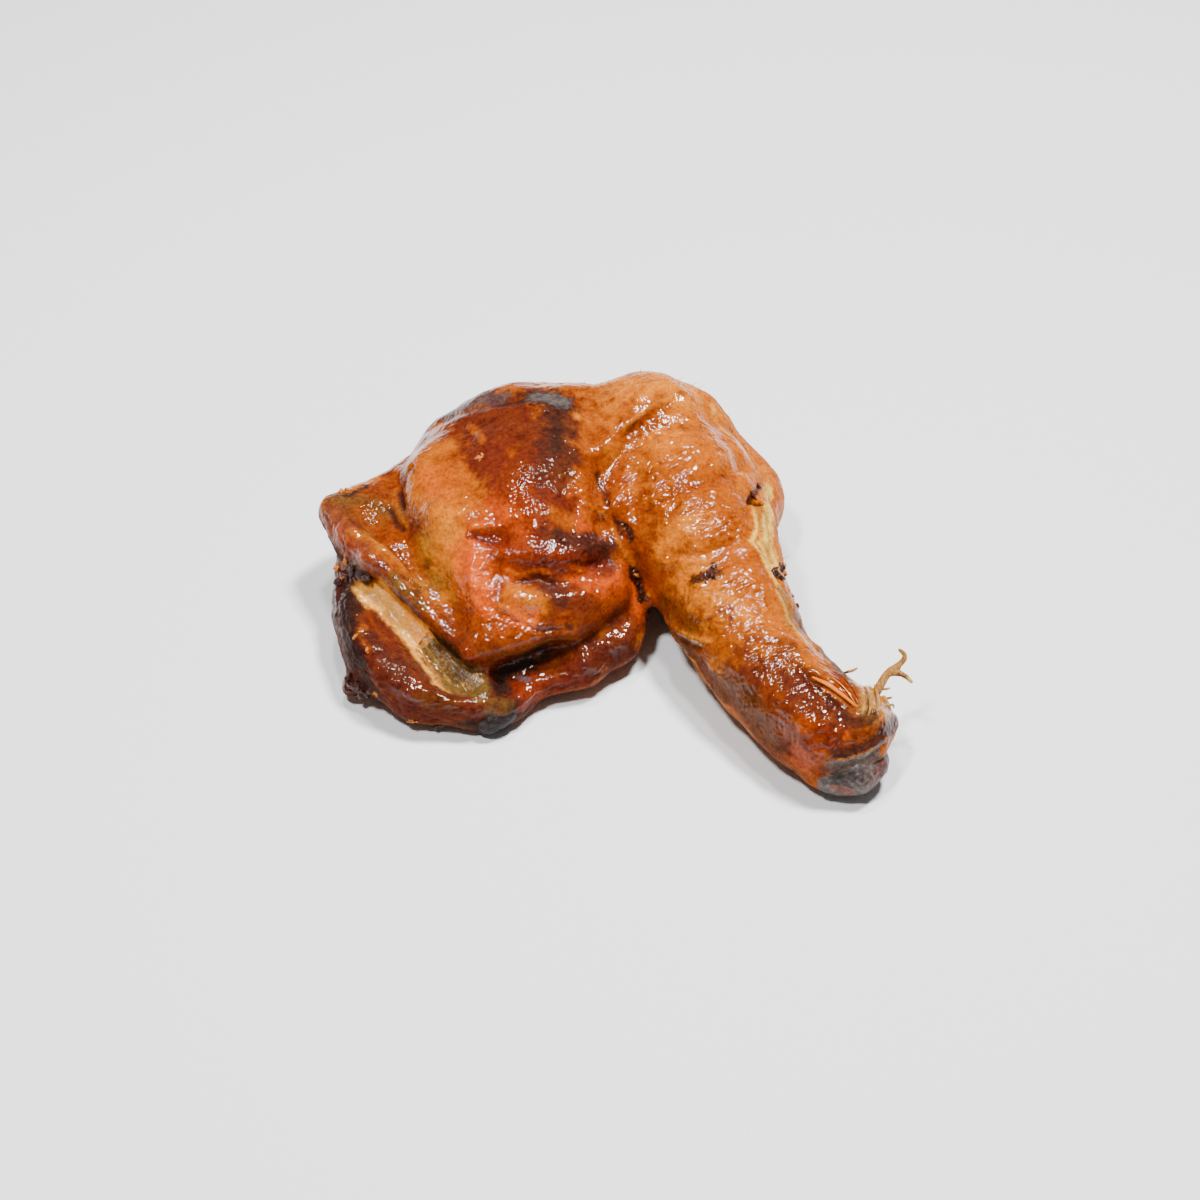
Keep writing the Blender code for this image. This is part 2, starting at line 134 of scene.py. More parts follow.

# broad washes of colour, a few of them painted shade and painted light: finish, reach in mm,
# strength, path
WASHES = [
    # drumstick and knee
    ("gold", 26, 1.0, [(14, 8, 24), (38, -24, 18), (52, -42, 16)]),
    ("tan", 9, 0.75, [(612, 384), (640, 380), (672, 382)]),
    ("tan", 7, 0.5, [(600, 400), (585, 420), (590, 450)]),
    ("honey", 5, 0.35, [(655, 436), (670, 440)]),
    ("amber", 5, 0.6, [(672, 470), (690, 478), (706, 484)]),
    ("rust", 3.0, 0.8, [(690, 480), (712, 484), (726, 478)]),
    ("amber", 7, 0.5, [(640, 500), (670, 505)]),
    ("rust", 4.5, 0.75, [(688, 490), (710, 500), (722, 506)]),
    ("honey", 5, 0.6, [(670, 540), (700, 548), (690, 556)]),
    ("tan", 2.6, 0.6, [(682, 508), (688, 524)]),
    ("amber", 7, 0.75, [(708, 545), (735, 550), (745, 575)]),
    ("amber", 6, 0.7, [(700, 470), (720, 500), (735, 525)]),
    ("rust", 3.0, 0.55, [(662, 403), (643, 420), (628, 432)]),
    ("rust", 4, 0.45, [(610, 470), (618, 520), (640, 570)]),
    ("honey", 5, 0.5, [(700, 590), (716, 604), (735, 616)]),
    ("tan", 4, 0.25, [(650, 600), (680, 615), (705, 630)]),
    ("olive", 4, 0.4, [(672, 610), (690, 630), (712, 645)]),
    # brown skin of the drumstick's lower left side, darkened further, with the purple too, as
    # painted shade on that side, which faces away from the lamps
    ("brown", 5, 0.92, [(652, 612), (672, 638), (698, 664), (720, 690)]),
    ("brown", 4.5, 0.8, [(650, 590), (668, 610), (690, 634)]),
    ("purple", 3.5, 0.35, [(662, 618), (682, 640), (700, 662)]),
    ("olive", 2.0, 0.3, [(676, 622), (698, 648)]),
    ("rust", 7, 0.7, [(730, 640), (752, 672), (770, 712)]),
    ("russet", 8, 1.0, [(752, 676), (772, 712), (790, 750)]),
    ("maroon", 5, 0.5, [(748, 674), (762, 686), (776, 700)]),
    ("brown", 6, 0.9, [(728, 690), (750, 715), (770, 745)]),
    ("rust", 4, 0.5, [(775, 690), (790, 716), (800, 740)]),
    ("maroon", 4, 0.7, [(788, 650), (792, 672), (806, 690)]),
    ("russet", 7, 0.85, [(800, 690), (820, 720), (830, 750)]),
    ("orange", 3, 0.5, [(806, 730), (815, 745), (800, 765)]),
    ("rust", 4, 0.5, [(815, 735), (840, 745), (860, 730)]),
    ("rust", 4, 0.7, [(765, 752), (790, 772), (820, 784)]),
    ("maroon", 3.5, 0.8, [(792, 680), (812, 700), (838, 716)]),
    ("maroon", 4, 0.6, [(838, 728), (858, 734), (880, 736)]),
    ("rust", 3, 0.9, [(838, 672), (852, 688), (858, 702)]),
    ("fibre", 2.6, 0.9, [(862, 680), (869, 696), (872, 712)]),
    ("fibre", 2.4, 0.9, [(878, 690), (886, 704), (888, 716)]),
    ("bone", 2.6, 1.0, [(838, 768), (856, 763), (874, 754)]),
    ("bone", 4.0, 1.0, [(844, 782), (858, 778), (876, 770)]),
    # thigh
    ("rust", 34, 1.0, [(-22, 10, 30), (-18, -12, 26), (-30, 30, 24)]),
    ("russet", 14, 0.5, [(-30, 40, 20), (0, 45, 24)]),
    ("maroon", 30, 1.0, [(-62, 0, 8), (-52, -28, 8), (-30, -36, 6)]),
    ("orange", 10, 0.7, [(500, 520), (540, 520), (590, 510)]),
    ("orange", 9, 0.8, [(600, 580), (615, 585), (628, 600)]),
    ("orange", 8, 0.8, [(485, 560), (490, 600), (500, 640)]),
    ("amber", 7, 0.7, [(570, 440), (585, 480), (600, 520)]),
    ("rust", 5, 0.6, [(590, 470), (605, 510), (625, 560)]),
    ("maroon", 9, 0.85, [(480, 415), (510, 430), (545, 440)]),
    ("red", 9, 0.8, [(480, 470), (520, 490), (545, 500)]),
    ("orange", 3, 0.25, [(494, 470), (512, 474)]),
    ("orange", 3, 0.6, [(486, 508), (506, 514)]),
    ("maroon", 6, 0.6, [(478, 452), (500, 470), (530, 470)]),
    ("purple", 5, 0.75, [(445, 414), (470, 404), (500, 400)]),
    ("purple", 5, 0.8, [(556, 415), (558, 450), (556, 478)]),
    ("maroon", 5, 0.7, [(554, 490), (560, 520), (550, 545)]),
    ("purple", 5.0, 0.95, [(560, 542), (582, 547), (604, 552)]),
    ("red", 5, 0.8, [(505, 545), (530, 555), (550, 560)]),
    ("maroon", 4, 0.8, [(556, 590), (575, 600), (590, 606)]),
    ("purple", 3, 0.6, [(548, 590), (560, 600)]),
    ("red", 3.5, 0.7, [(560, 562), (585, 564), (600, 570)]),
    ("gold", 7, 0.95, [(420, 486), (440, 486), (456, 500)]),
    ("blaze", 4, 0.4, [(428, 476), (440, 484), (446, 492)]),
    ("amber", 4, 0.7, [(448, 468), (460, 488), (466, 508)]),
    ("gold", 4, 0.8, [(440, 450), (425, 455), (410, 465)]),
    # golden skin of the trough, painted lighter as painted light on this slope, which faces away
    # from the lamps
    ("honey", 6.5, 0.45, [(440, 525), (440, 560), (442, 590)]),
    ("olive", 4, 0.8, [(424, 545), (418, 570), (428, 592)]),
    ("moss", 2.4, 0.45, [(425, 570), (434, 586)]),
    ("tan", 3.2, 0.7, [(450, 530), (454, 540)]),
    ("blaze", 3.5, 0.5, [(462, 545), (466, 580), (470, 606)]),
    ("blaze", 3.0, 0.6, [(476, 560), (482, 590), (486, 604)]),
    ("rust", 2.4, 0.5, [(496, 560), (500, 590), (504, 610)]),
    ("rust", 5.5, 0.85, [(426, 610), (446, 622), (466, 636), (486, 646)]),
    ("russet", 4.5, 0.85, [(430, 622), (450, 636), (468, 648), (488, 658)]),
    ("russet", 4.0, 0.85, [(500, 650), (524, 646), (552, 638)]),
    ("rust", 3.0, 0.6, [(494, 630), (512, 634), (530, 634)]),
    ("red", 1.8, 0.7, [(448, 640), (466, 655), (480, 662)]),
    ("gold", 3.6, 0.85, [(512, 602), (524, 596), (534, 606)]),
    ("blaze", 2.6, 0.6, [(516, 612), (530, 616)]),
    ("amber", 2.5, 0.8, [(558, 516), (568, 522)]),
    # flap over the cut side
    ("russet", 6, 0.9, [(345, 498), (368, 503), (388, 515)]),
    ("moss", 5, 0.6, [(345, 500), (368, 508), (388, 520)]),
    ("rust", 3, 0.6, [(362, 512), (382, 526), (396, 544)]),
    ("meat", 4, 0.95, [(326, 520), (345, 545), (372, 570)]),
    ("blaze", 1.6, 0.2, [(336, 530), (350, 545), (362, 556)]),
    ("olive", 1.6, 0.5, [(366, 534), (380, 546), (394, 560)]),
    ("rust", 4, 0.8, [(390, 530), (405, 550), (415, 570)]),
    ("gold", 1.8, 0.4, [(354, 532), (368, 540), (382, 552), (400, 570)]),
    ("rust", 3.6, 0.8, [(388, 588), (404, 600), (428, 620)]),
    ("moss", 1.4, 0.7, [(392, 576), (408, 592), (424, 606)]),
    ("rust", 5, 0.5, [(380, 490), (400, 470), (420, 445)]),
    # back piece
    ("maroon", 5.0, 0.95, [(362, 608), (378, 640), (400, 672)]),
    ("rust", 0.9, 0.35, [(362, 604), (376, 630), (392, 656)]),
    ("purple", 2.6, 0.6, [(370, 634), (384, 654), (404, 680)]),
    ("purple", 4.5, 0.95, [(342, 590), (342, 620), (350, 655), (370, 690)]),
    ("char", 3, 0.7, [(350, 600), (350, 630), (358, 662), (376, 694)]),
    ("maroon", 4, 0.8, [(390, 692), (430, 706), (470, 708)]),
    ("brown", 3, 0.6, [(430, 698), (452, 704)]),
    ("bare", 3.0, 0.95, [(370, 590), (392, 612), (412, 640), (428, 664), (442, 684)]),
    ("bare", 3.2, 0.95, [(386, 588), (404, 608), (424, 636), (440, 660), (456, 684)]),
    ("moss", 3.0, 0.85, [(450, 652), (466, 672), (468, 688)]),
    ("moss", 3.6, 0.8, [(434, 654), (444, 668), (454, 684)]),
    ("moss", 3, 0.95, [(462, 668), (472, 678), (478, 690)]),
    ("moss", 3, 0.6, [(495, 708), (510, 705)]),
    ("char", 5, 0.9, [(470, 728), (500, 730), (522, 712)]),
    # charred skin and painted shade in the pocket under the thigh's front
    ("char", 4, 0.9, [(500, 690), (520, 675), (545, 655)]),
    ("rust", 3, 0.7, [(548, 666), (562, 655)]),
    ("red", 5, 0.9, [(530, 690), (565, 690), (590, 672)]),
    ("maroon", 6, 0.8, [(600, 655), (618, 644), (628, 630)]),
    ("russet", 6, 0.6, [(590, 618), (604, 612), (618, 604)]),
    ("purple", 6, 0.35, [(560, 685), (590, 668), (618, 645)]),
]

# small crisp stains, with painted shade in some gaps and creases and painted sheen and glints:
# finish, reach in mm, strength, path, and where it is a fold too, the reach and height of its
# relief in mm
STAINS_SHADE_AND_SHEEN = [
    ("purple", 5.0, 0.8, [(536, 396), (550, 398), (562, 404)]),
    ("char", 3.4, 0.95, [(534, 398), (548, 398), (560, 404)]),
    # painted grey sheen over the scorch and along the thigh's top edge
    ("ash", 2.8, 0.55, [(538, 397), (550, 398), (560, 402)]),
    ("ash", 2.4, 0.35, [(452, 410), (475, 402), (500, 396)]),
    ("char", 1.6, 0.6, [(554, 418), (558, 432), (556, 450)]),
    ("amber", 1.0, 0.8, [(498, 391), (512, 386), (529, 384), (547, 385)]),
    ("amber", 1.2, 0.5, [(470, 428), (478, 432), (483, 442)]),
    ("amber", 0.8, 0.5, [(507, 572), (518, 576), (538, 571), (548, 573)], 0.9, 0.35),
    # painted shade in the dark gap under the pale wrinkle line
    ("purple", 0.7, 0.8, [(518, 580), (538, 579), (552, 583)]),
    ("red", 1.6, 0.9, [(470, 534), (484, 537), (496, 538)]),
    ("maroon", 0.9, 0.8, [(476, 536), (494, 539)]),
    ("purple", 1.1, 0.8, [(412, 472), (406, 482), (400, 492), (404, 508)]),
    ("gold", 0.8, 0.3, [(396, 489), (394, 497), (399, 515), (406, 527)], 0.8, 0.25),
    ("purple", 0.7, 0.8, [(390, 508), (395, 522), (403, 530)], 0.8, -0.7),
    ("char", 1.2, 0.85, [(318, 512), (323, 535), (330, 549), (342, 558)]),
    ("char", 0.9, 0.8, [(345, 496), (356, 491), (366, 486)]),
    ("brown", 1.2, 0.8, [(418, 586), (417, 592)]),
    ("brown", 1.0, 0.6, [(426, 566), (430, 562)]),
    # painted shadow: the dark gap under the skin's lower edge beside the bare strip, and under
    # the flap
    ("char", 1.4, 0.9, [(434, 634), (445, 644), (458, 656)]),
    ("char", 1.8, 0.9, [(346, 563), (358, 572), (368, 580)]),
    # a painted glint in the charred pocket
    ("ash", 0.8, 0.8, [(519, 677), (528, 680)]),
    ("purple", 1.2, 0.8, [(570, 627)]),
    # painted shade: the dark slit and the thin dark line in the crease between thigh and
    # drumstick, which are pressed in as grooves too
    ("purple", 0.7, 0.8, [(601, 474), (606, 490), (607, 502)], 0.8, -1.0),
    ("purple", 0.5, 0.8, [(607, 502), (618, 530), (632, 570), (640, 590)], 0.5, -0.6),
    ("gold", 0.6, 0.6, [(584, 503), (603, 513), (621, 545), (634, 566)], 0.6, 0.35),
    ("tan", 0.7, 0.5, [(669, 399), (650, 407), (625, 428)], 0.9, 0.4),
    ("maroon", 1.2, 0.7, [(682, 393)]),
    ("maroon", 1.1, 0.6, [(681, 427), (684, 430)]),
    ("char", 0.4, 1.0, [(723.7, 474.8)]),
    ("char", 0.4, 1.0, [(777, 639)]),
    ("char", 0.35, 0.9, [(626, 560)]),
    ("maroon", 0.5, 0.8, [(731, 618), (731, 625)]),
    ("red", 0.45, 0.8, [(730, 540), (735, 538)]),
    ("fascia", 2.6, 0.8, [(717, 408), (735, 430), (752, 458), (766, 480)]),
    ("rust", 0.5, 0.6, [(724, 418), (742, 442), (757, 470)]),
    ("fat", 1.0, 0.2, [(713, 407), (724, 432), (748, 460), (757, 476)], 0.8, 0.5),
    ("fat", 2.2, 0.8, [(768, 492), (768, 520), (766, 545), (774, 565)]),
    ("fat", 0.6, 0.6, [(752, 505), (757, 527), (751, 542), (766, 564), (778, 588)], 0.8, 0.5),
    ("olive", 1.2, 0.9, [(752, 507), (757, 512)]),
    ("olive", 0.6, 0.7, [(762, 500), (760, 520), (762, 542), (772, 562)]),
    ("fascia", 0.45, 0.6, [(770, 498), (773, 520), (770, 542), (777, 560)]),
    ("moss", 0.5, 0.5, [(766, 512), (768, 534), (768, 550)]),
    ("tan", 0.6, 0.6, [(778, 530), (780, 548), (784, 566)]),
    ("olive", 2.4, 0.85, [(783, 594), (790, 612), (796, 628)]),
    ("moss", 2.2, 0.35, [(783, 594), (790, 612), (796, 628)]),
    ("fat", 0.5, 0.3, [(775, 590), (786, 612), (797, 632), (806, 645)], 0.7, 0.4),
    ("silver", 3.4, 0.9, [(800, 622), (817, 645), (834, 660), (850, 672)]),
    ("fascia", 0.4, 0.6, [(796, 622), (812, 646), (830, 664)]),
    ("fascia", 0.3, 0.5, [(806, 628), (822, 650), (842, 668)]),
    ("brown", 0.4, 0.7, [(803, 630), (818, 652), (836, 668)]),
    ("purple", 1.2, 0.6, [(806, 676), (820, 692), (836, 704)]),
    ("rust", 1.0, 0.8, [(838, 680), (850, 695), (858, 704)]),
    ("red", 1.6, 0.7, [(820, 728), (834, 735)]),
    ("orange", 0.9, 0.9, [(846, 736)]),
    ("gold", 0.9, 0.9, [(866, 727)]),
    ("purple", 2.4, 0.95, [(884, 732), (894, 722)]),
    ("purple", 1.3, 0.85, [(832, 752), (848, 752), (864, 746), (878, 738), (892, 730)]),
    ("char", 0.6, 0.7, [(834, 757), (850, 757), (866, 751), (880, 743)]),
    ("red", 1.2, 0.7, [(808, 742), (822, 748), (834, 744)]),
    ("maroon", 1.0, 0.6, [(790, 726), (800, 738), (812, 756)]),
    ("rust", 1.0, 0.8, [(812, 770), (826, 782), (846, 792)]),
    ("fascia", 0.3, 0.5, [(886, 737), (867, 751), (846, 759), (833, 760)], 0.8, 0.3),
    ("olive", 2.4, 0.8, [(866, 686), (876, 698), (884, 712)]),
    ("brown", 0.35, 0.8, [(864, 690), (868, 702), (868, 714)]),
    ("brown", 0.35, 0.8, [(872, 688), (877, 700), (878, 712)]),
    ("purple", 2.0, 0.8, [(846, 715), (858, 722), (872, 716)]),
    ("tan", 0.5, 0.5, [(648, 594), (666, 620), (689, 637), (708, 641)], 0.8, 0.5),
    ("tan", 0.5, 0.5, [(651, 615), (676, 645), (695, 661), (712, 687)], 0.8, 0.5),
    ("brown", 0.8, 0.6, [(668, 628), (685, 642), (700, 648)], 0.9, -0.5),
    ("purple", 1.6, 0.7, [(345, 690), (358, 694), (372, 697)]),
    ("tan", 0.9, 0.8, [(372, 692), (375, 694)]),
    # torn and burnt places
    ("scab", 0.8, 0.95, [(619, 524), (626, 526), (631, 533), (631, 540)]),
    ("scab", 1.7, 0.98, [(695, 580), (702, 577), (710, 574), (716, 574)]),
    ("scab", 0.8, 0.95, [(712, 572), (713, 565)]),
    ("scab", 0.9, 0.95, [(760, 485), (754, 494), (749, 502)]),
    ("scab", 0.6, 0.9, [(750, 502), (762, 504)]),
    ("scab", 1.2, 0.9, [(632, 572), (639, 584), (643, 598)]),
]

# colours on the bare strip
STRIP_STAINS = [
    ("fat", 1.6, 0.35, [(372, 596), (395, 618), (412, 640)]),
    ("ash", 1.0, 0.5, [(396, 592), (408, 604), (420, 617)]),
    ("purple", 0.35, 0.9, [(430, 629), (424, 638), (417, 647)]),
    ("moss", 3.8, 0.96, [(434, 652), (446, 666), (454, 684)]),
    ("fascia", 0.5, 0.35, [(420, 650), (432, 668), (442, 684)]),
    ("fat", 0.4, 0.15, [(426, 646), (438, 664), (450, 682)]),
    ("brown", 0.5, 0.6, [(440, 646), (452, 664), (462, 680)]),
    ("moss", 3.0, 0.95, [(462, 668), (472, 678), (478, 690)]),
]

# colours on the bone end
BONE_STAINS = [
    ("char", 3, 0.7, [(850, 770), (840, 780)]),
    ("char", 1.2, 0.8, [(838, 760), (872, 752)]),
    ("ash", 2.0, 0.45, [(856, 764), (866, 758)]),
    ("maroon", 2, 0.9, [(880, 762), (878, 772), (872, 782)]),
    ("rust", 1.2, 0.6, [(836, 786), (852, 792)]),
]

# colours on the dry strands
STRAND_STAINS = [
    ("maroon", 1.6, 0.7, [(898, 678), (902, 686)]),
    ("fat", 1.5, 0.6, [(910, 683), (915, 685)]),
]

# places with less gloss: reach in mm, how much less, path
MATTE = [
    (10, 0.75, [(490, 420), (530, 440), (556, 470)]),
    (6, 0.8, [(531, 400), (560, 405)]),
    (6, 0.5, [(345, 498), (372, 505)]),
    (5, 0.4, [(362, 605), (400, 668)]),
    (9, 0.95, [(720, 410), (745, 440), (766, 480), (770, 540)]),
    (8, 0.5, [(600, 378), (650, 374), (700, 384)]),
    (6, 0.8, [(790, 612), (816, 640), (840, 664)]),
    (6, 0.9, [(350, 620), (370, 680)]),
]

# relief in the skin: reach in mm, height in mm (minus is a groove), path
RELIEF = [
    (1.4, 0.35, [(470, 428), (478, 432), (483, 442), (490, 447)]),
    (1.0, -0.9, [(516, 580), (538, 579), (552, 583)]),
    (1.9, -1.2, [(478, 535), (488, 538), (498, 540)]),
    (1.3, 0.7, [(475, 527), (486, 525), (498, 527)]),
    (1.4, 0.7, [(474, 545), (474, 570), (476, 598)]),
    (1.3, -0.6, [(497, 560), (499, 580), (502, 600)]),
    (0.9, 0.6, [(503, 607), (518, 617), (538, 626), (562, 625)]),
    (0.8, -0.6, [(506, 613), (520, 622), (536, 631), (560, 630)]),
    (0.9, 0.6, [(522, 624), (538, 637), (562, 632)]),
    (1.0, -0.7, [(556, 563), (580, 567), (600, 566)]),
    (1.1, 0.6, [(545, 556), (566, 566), (590, 574)]),
    (2.6, 0.9, [(516, 596), (528, 600)]),
    (0.9, -0.8, [(412, 466), (405, 482), (400, 490), (403, 508)]),
    (0.9, 0.6, [(354, 532), (368, 538), (382, 548), (400, 563), (410, 578)]),
    (0.8, -0.5, [(364, 528), (380, 540), (398, 556), (412, 572)]),
    (1.8, -0.9, [(664, 404), (645, 421), (628, 434)]),
    (2.0, -1.0, [(596, 460), (606, 490), (622, 530), (638, 575)]),
    (0.5, -0.5, [(621, 524), (626, 526), (630, 532), (630, 539)]),
    (1.3, 0.4, [(694, 581), (701, 577), (710, 574), (717, 575)]),
    (0.7, -0.6, [(759, 486), (753, 495), (749, 503), (761, 504)]),
    (1.0, -0.5, [(720, 406), (731, 429), (754, 456), (764, 474)]),
    (0.5, 0.35, [(800, 620), (818, 642), (838, 662)]),
    (0.5, -0.35, [(806, 624), (822, 645), (842, 664)]),
    (1.4, -1.1, [(800, 668), (818, 690), (836, 706)]),
    (0.9, -0.5, [(884, 745), (866, 758), (846, 766)]),
    (0.6, 0.5, [(860, 686), (864, 698), (865, 712)]),
    (0.5, -0.5, [(864, 688), (868, 700), (869, 714)]),
    (0.6, 0.5, [(869, 686), (873, 698), (874, 712)]),
    (0.5, -0.5, [(873, 686), (878, 700), (879, 712)]),
    (1.6, 0.5, [(690, 470), (715, 460), (740, 452)]),
    (1.4, -0.5, [(695, 485), (722, 474), (748, 466)]),
    (1.4, 0.5, [(690, 500), (725, 488), (745, 476)]),
    (1.3, -0.4, [(664, 552), (700, 556), (735, 545)]),
    (1.3, 0.5, [(668, 562), (705, 560), (745, 548)]),
]

# where each kind of wrinkle lies: kind, reach in mm, depth, path
TEXTURES = [
    ("pucker", 9, 1.0, [(640, 480), (690, 510), (745, 520)]),
    ("pucker", 9, 1.0, [(680, 580), (740, 600), (770, 650)]),
    ("pucker", 7, 0.6, [(650, 440), (700, 450)]),
    ("pucker", 7, 0.8, [(790, 700), (820, 740)]),
    ("pucker", 6, 0.9, [(482, 550), (490, 600), (540, 640)]),
    ("pucker", 5, 0.9, [(545, 560), (590, 560)]),
    ("pucker", 4, 0.9, [(520, 595), (535, 605)]),
    ("pimple", 12, 1.0, [(590, 390), (640, 385), (690, 395)]),
    ("pimple", 10, 0.8, [(470, 430), (540, 440), (560, 500)]),
    ("grain", 8, 1.0, [(345, 600), (352, 650), (390, 700), (450, 715)]),
    ("grain", 5, 0.8, [(326, 520), (345, 545), (372, 570)]),
    ("grain", 6, 0.8, [(530, 690), (580, 680), (620, 650)]),
    ("grain", 5, 0.9, [(735, 430), (760, 470), (800, 625), (840, 668)]),
]


def sight_line(x, y):
    """The direction in which the camera sees a point of the picture."""
    half = PICTURE_SIDE / 2
    way = LOOK_RIGHT * (x - half) + LOOK_UP * (half - y)
    return (way / FOCAL_PIXELS + LOOK).normalized()


class Skin:
    """The bare shape that everything is painted and laid on."""

    def __init__(self, meshes):
        bm = bmesh.new()
        for mesh in meshes:
            bm.from_mesh(mesh)
        self.tree = BVHTree.FromBMesh(bm)
        bm.free()

    def spot(self, x, y):
        """The place and facing on the skin that show at a point of the picture."""
        way = sight_line(x, y)
        place, facing, _, _ = self.tree.ray_cast(CAMERA_AT, way)
        if place is None:
            near = [self.tree.find_nearest(CAMERA_AT + way * far)
                    for far in np.linspace(0.62, 0.82, 41)]
            place, facing, _, _ = min(near, key=lambda hit: hit[3])
        return place, facing

    def path(self, points):
        """Picture points (x, y) or places (x, y, z) in millimetres, as places in metres."""
        return np.array([self.spot(*p)[0] if len(p) == 2 else Vector(p) * MM for p in points])


def distance_to(points, path):
    """How far each point is from a line of places."""
    if len(path) == 1:
        return np.linalg.norm(points - path[0], axis=1)
    best = np.full(len(points), np.inf)
    for start, end in zip(path[:-1], path[1:]):
        run = end - start
        along = np.clip((points - start) @ run / max(run @ run, 1e-12), 0, 1)
        best = np.minimum(best, np.linalg.norm(points - start - along[:, None] * run, axis=1))
    return best


def ripple(points, size, seed=0.0):
    """Smooth noise from -1 to 1 with bumps of that size."""
    return np.array([noise.noise(p) for p in (points / size + seed).tolist()])


def crease(points, size, seed=0.0):
    """Noise with sharp crests and round hollows."""
    return 0.5 - 2 * np.abs(ripple(points, size, seed))


def ease(value):
    """0 below 0, 1 above 1, and a soft step between."""
    value = np.clip(value, 0, 1)
    return value * value * (3 - 2 * value)


def settle(obj, node=None):
    """Smooth shading, body and the node that the piece stands for."""
    obj.data.polygons.foreach_set("use_smooth", [True] * len(obj.data.polygons))
    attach(obj, "root")
    if node:
        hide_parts(node)


def linked(name, bm):
    """A new object in the scene from a bmesh."""
    mesh = bpy.data.meshes.new(name)
    bm.to_mesh(mesh)
    bm.free()
    obj = bpy.data.objects.new(name, mesh)
    bpy.context.scene.collection.objects.link(obj)
    return obj


def bake(obj):
    """Applies every modifier on the piece."""
    shown = bpy.context.evaluated_depsgraph_get()
    mesh = bpy.data.meshes.new_from_object(obj.evaluated_get(shown))
    old = obj.data
    obj.modifiers.clear()
    obj.data = mesh
    bpy.data.meshes.remove(old)


def merged(node):
    """One solid as a bmesh with its doubled points merged."""
    bm = bmesh.new()
    bm.from_mesh(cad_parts[node].data)
    bmesh.ops.remove_doubles(bm, verts=bm.verts, dist=MERGE)
    return bm


def remesh(obj, voxel):
    """Adds an even mesh of that spacing."""
    even = obj.modifiers.new("even", "REMESH")
    even.mode = "VOXEL"
    even.voxel_size = voxel


def node_copy(node, name, voxel, rounds, swell=0.0, seated=()):
    """A rounded and evenly meshed copy of one solid, its seats closed over others."""
    bm = merged(node)
    for other in seated:
        small = merged(other)
        small.normal_update()
        for v in small.verts:
            v.co += v.normal * SEAT_FILL
        grown = bpy.data.meshes.new(other + "_grown")
        small.to_mesh(grown)
        small.free()
        bm.from_mesh(grown)
        bpy.data.meshes.remove(grown)
    obj = linked(name, bm)
    round_off = obj.modifiers.new("round", "SUBSURF")
    round_off.levels = round_off.render_levels = 1
    remesh(obj, voxel)
    soft = obj.modifiers.new("soft", "SMOOTH")
    soft.factor = 0.5
    soft.iterations = rounds
    bake(obj)
    if swell:
        move_points(obj, read(obj, "co") + read(obj, "normal") * swell)
    return obj


def thin_below(obj, most):
    """Fewer triangles on the side that faces down, until the piece has no more than most."""
    facing = read(obj, "normal")
    down = obj.vertex_groups.new(name="down")
    down.add(np.flatnonzero(facing[:, 2] < FACES_DOWN).tolist(), 1.0, "REPLACE")
    triangles = sum(len(face.vertices) - 2 for face in obj.data.polygons)
    if triangles > most:
        fewer = obj.modifiers.new("fewer", "DECIMATE")
        fewer.ratio = most / triangles
        fewer.vertex_group = "down"
        bake(obj)
    obj.vertex_groups.clear()


def read(obj, what):
    """The "co" or the "normal" of every point."""
    flat = np.empty(len(obj.data.vertices) * 3)
    obj.data.vertices.foreach_get(what, flat)
    return flat.reshape(-1, 3)


def above_floor(points):
    """The places, with those that are too low lifted."""
    return np.maximum(points, (-np.inf, -np.inf, LOWEST))


def move_points(obj, points):
    obj.data.vertices.foreach_set("co", points.ravel())
    obj.data.update()


def paint(obj, name, values, kind="FLOAT", field="value"):
    """Stores a value for every point, for the materials to read."""
    layer = obj.data.attributes.new(name, kind, "POINT")
    layer.data.foreach_set(field, np.ascontiguousarray(values, dtype=np.float32).ravel())


def paint_colour(obj, colour):
    """Stores one colour for all points, or one for each."""
    rgba = np.ones((len(obj.data.vertices), 4))
    rgba[:, :3] = np.clip(colour, 0, 1)
    paint(obj, "roast", rgba, "FLOAT_COLOR", "color")


class RoastSizes(bpy.types.PropertyGroup):
    """Sizes that a user would change."""
    skin_mesh: FloatProperty(
        name="Skin mesh", description="Mesh spacing of the skin", default=0.00061,
        min=0.0004, unit="LENGTH")
    pucker: FloatProperty(
        name="Pucker", description="Height of the short wrinkles across the drumstick",
        default=0.00042, unit="LENGTH")
    pimple: FloatProperty(
        name="Goose bumps", description="Height of the bumps on the knee",
        default=0.00022, unit="LENGTH")
    grain: FloatProperty(
        name="Meat grain", description="Height of the fibres in bare meat",
        default=0.00030, unit="LENGTH")
    seed: IntProperty(name="Seed", description="Which crumbs and hairs are drawn", default=7)


def finish_property(name):
    colour, words = FINISHES[name]
    return FloatVectorProperty(
        name=name.capitalize(), description="Colour of " + words, subtype="COLOR", size=3,
        min=0, max=1, default=colour)


class RoastColours(bpy.types.PropertyGroup):
    """Colours of the finishes."""
    __annotations__ = {name: finish_property(name) for name in FINISHES}


def colours():
    """Every finish's colour as set in the panel."""
    chosen = bpy.context.scene.roast_colours
    return {name: np.array(getattr(chosen, name)) for name in FINISHES}


def uneven(distance, reach, edge, wobble):
    """1 well inside the reach and 0 outside, with an uneven soft border."""
    return ease((reach * (1 + wobble) - distance) / (edge * reach) + 0.5)


def lay_marks(colour, points, marks, skin, edge, wobble):
    """Lays marks of finish over the colours, each along its path."""
    tint = colours()
    for finish, reach, strength, path, *_ in marks:
        amount = uneven(distance_to(points, skin.path(path)), reach * MM, edge, wobble)
        amount = (amount * strength)[:, None]
        colour = colour * (1 - amount) + tint[finish] * amount
    return colour


def fine_wander(points):
    return ripple(points, 1.3 * MM, 11.7) * 0.6 + ripple(points, 0.7 * MM, 4.2) * 0.35


